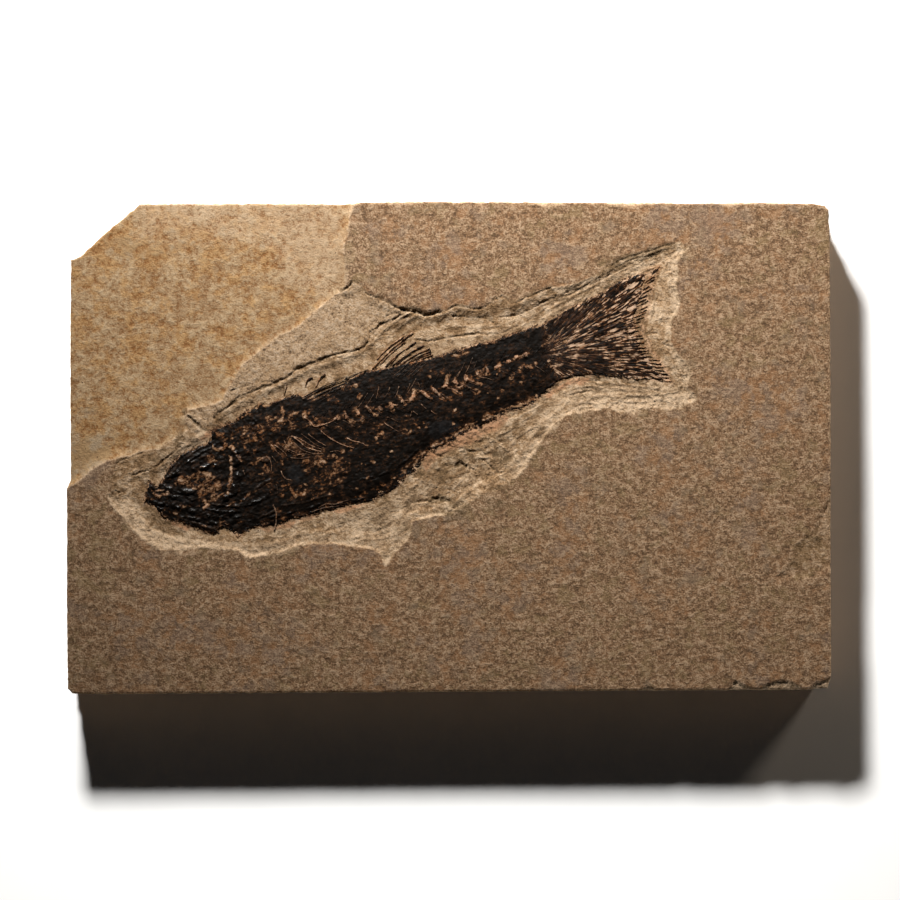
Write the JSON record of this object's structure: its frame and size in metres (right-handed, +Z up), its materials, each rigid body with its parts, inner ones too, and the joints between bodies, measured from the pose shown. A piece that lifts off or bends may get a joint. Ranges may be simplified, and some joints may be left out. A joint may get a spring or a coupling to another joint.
{
  "type": "fossil fish slab",
  "caption": "Knightia fossil fish, black with a tan backbone, in a prepared trough on a rectangular slab of split limestone.",
  "frame": {"origin": "middle of the slab's underside", "axes": "+X along the slab's length towards the tail's end of the slab, +Y across it towards the back of the fish, +Z up out of the split face"},
  "size_m": [0.195, 0.1256, 0.014],
  "materials": {
    "limestone": "rough split limestone, brown with yellow and pale tan layers",
    "fossil_black": "dark mineralised fish with a low gloss and rusty breaks",
    "fossil_bone": "orange-tan mineralised bone, low gloss"
  },
  "bodies": {
    "root": {"stone_slab": "limestone", "fish_body": "fossil_black", "backbone": "fossil_bone", "dorsal_fin": "fossil_black", "loose_spine_front": "fossil_black", "loose_spine_middle": "fossil_black", "loose_spine_rear": "fossil_black"}
  },
  "joints": []
}
